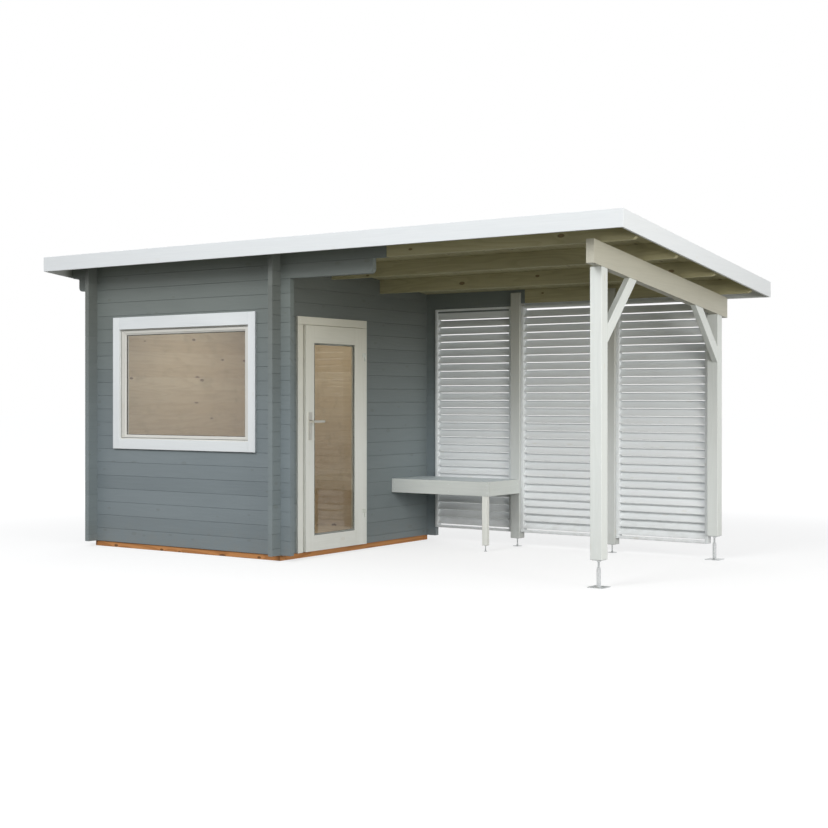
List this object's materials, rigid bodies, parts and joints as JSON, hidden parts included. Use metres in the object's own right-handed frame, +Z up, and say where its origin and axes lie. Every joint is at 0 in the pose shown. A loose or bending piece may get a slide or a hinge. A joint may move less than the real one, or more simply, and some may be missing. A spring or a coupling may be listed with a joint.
{
  "type": "outdoor sauna cabin with louvred veranda",
  "caption": "Log sauna cabin under one single-pitch roof, with a picture window, a glazed outward-opening door and a post-and-beam veranda closed behind by louvre panels.",
  "frame": {"origin": "on the ground, under the middle of the roof", "axes": "+Z up, +Y towards the back, where the roof is low, +X from the room to the veranda"},
  "size_m": [5.577, 2.659, 2.5189],
  "materials": {
    "wall_paint": "satin",
    "white_paint": "satin",
    "cream_paint": "satin",
    "bare_wood": "matte",
    "treated_wood": "matte",
    "felt": "matte",
    "glass": "gloss",
    "galvanised": "matte",
    "nickel": "satin"
  },
  "bodies": {
    "cabin": {"front_wall": "wall_paint", "back_wall": "wall_paint", "left_wall": "wall_paint", "door_wall_front": "wall_paint", "door_wall_back": "wall_paint", "door_wall_over_door": "wall_paint", "purlin_front_cabin": "wall_paint", "purlin_back_cabin": "wall_paint", "fascia_front": "white_paint", "fascia_back": "white_paint", "fascia_left": "white_paint", "fascia_right": "white_paint", "window_frame": "white_paint", "window_casing": "white_paint", "door_frame": "white_paint", "door_casing": "white_paint", "post_front_right": "cream_paint", "post_back_right": "cream_paint", "post_back_middle_1": "cream_paint", "post_back_middle_2": "cream_paint", "side_beam": "cream_paint", "brace_front": "cream_paint", "brace_back": "cream_paint", "louvre_panel_1": "cream_paint", "louvre_panel_2": "cream_paint", "louvre_panel_3": "cream_paint", "bench_top": "cream_paint", "bench_frame": "cream_paint", "bench_leg": "cream_paint", "purlin_front_veranda": "cream_paint", "purlin_back_veranda": "cream_paint", "purlin_inner_front": "cream_paint", "purlin_inner_back": "cream_paint", "floor": "bare_wood", "roof_deck": "bare_wood", "ground_beams": "treated_wood", "floor_bearers": "treated_wood", "roof_felt": "felt", "window_glass": "glass", "corner_post_feet": "galvanised", "small_feet": "galvanised", "door_hinges_frame": "nickel"},
    "door": {"door_leaf": "white_paint", "door_glass": "glass", "door_hinges_leaf": "nickel", "door_lock_plates": "nickel"},
    "lever": {"door_lever": "nickel"}
  },
  "joints": [
    {"name": "door_hinge", "type": "hinge", "parent": "cabin", "child": "door", "pos_m": [-0.2815, 0.005, 1], "axis": [0, 0, 1], "range_deg": [0, 110]},
    {"name": "lever_turn", "type": "hinge", "parent": "door", "child": "lever", "pos_m": [-0.3095, -0.7305, 1.1], "axis": [-1, 0, 0], "range_deg": [0, 40], "stiffness_Nm_per_rad": 1.6, "springref_deg": -28.65}
  ]
}
